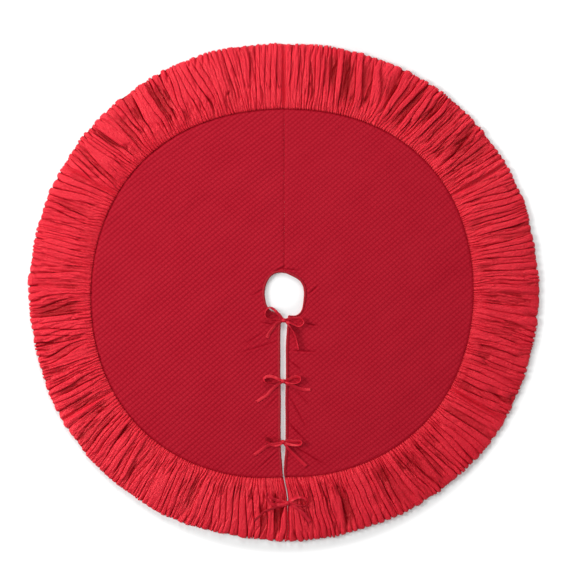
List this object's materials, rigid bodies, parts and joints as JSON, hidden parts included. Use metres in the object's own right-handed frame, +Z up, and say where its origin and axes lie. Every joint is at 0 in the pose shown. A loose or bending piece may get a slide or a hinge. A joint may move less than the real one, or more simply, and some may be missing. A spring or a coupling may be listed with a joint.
{
  "type": "tree skirt",
  "caption": "Round quilted tree skirt with a gathered satin ruffle, a bound trunk hole and front slit closed by ribbon bows; folds in half.",
  "frame": {"origin": "on the floor in the middle of the trunk hole, under the skirt lying flat and face up", "axes": "+Z up; -Y towards the open slit with its bows, +Y towards the back seam; +X towards the half that folds over"},
  "size_m": [1.524, 1.524, 0.0223],
  "materials": {
    "quilted_satin": "fine diamond quilting in matt satin, dark red",
    "ruffle_satin": "glossy crisp satin, bright red",
    "ribbon_satin": "double-faced satin ribbon, bright red",
    "binding_satin": "folded satin strip, dark red",
    "lining_cotton": "plain matt weave, dark red",
    "batting_fibre": "soft white fibre"
  },
  "bodies": {
    "left_half": {"lining_left": "lining_cotton", "batting_left": "batting_fibre", "quilted_face_left": "quilted_satin", "hole_binding_left": "binding_satin", "slit_binding_left": "binding_satin", "ruffle_left_front": "ruffle_satin", "ruffle_left_middle": "ruffle_satin", "ruffle_left_back": "ruffle_satin", "ribbon_left_1": "ribbon_satin", "ribbon_left_2": "ribbon_satin", "ribbon_left_3": "ribbon_satin", "ribbon_left_4": "ribbon_satin"},
    "right_half": {"lining_right": "lining_cotton", "batting_right": "batting_fibre", "quilted_face_right": "quilted_satin", "hole_binding_right": "binding_satin", "slit_binding_right": "binding_satin", "ruffle_right_front": "ruffle_satin", "ruffle_right_middle": "ruffle_satin", "ruffle_right_back": "ruffle_satin", "ribbon_right_1": "ribbon_satin", "ribbon_right_2": "ribbon_satin", "ribbon_right_3": "ribbon_satin", "ribbon_right_4": "ribbon_satin"}
  },
  "joints": [
    {"name": "half_fold", "type": "hinge", "parent": "left_half", "child": "right_half", "pos_m": [0, 0, 0.024], "axis": [0, -1, 0], "range_deg": [0, 179]}
  ]
}
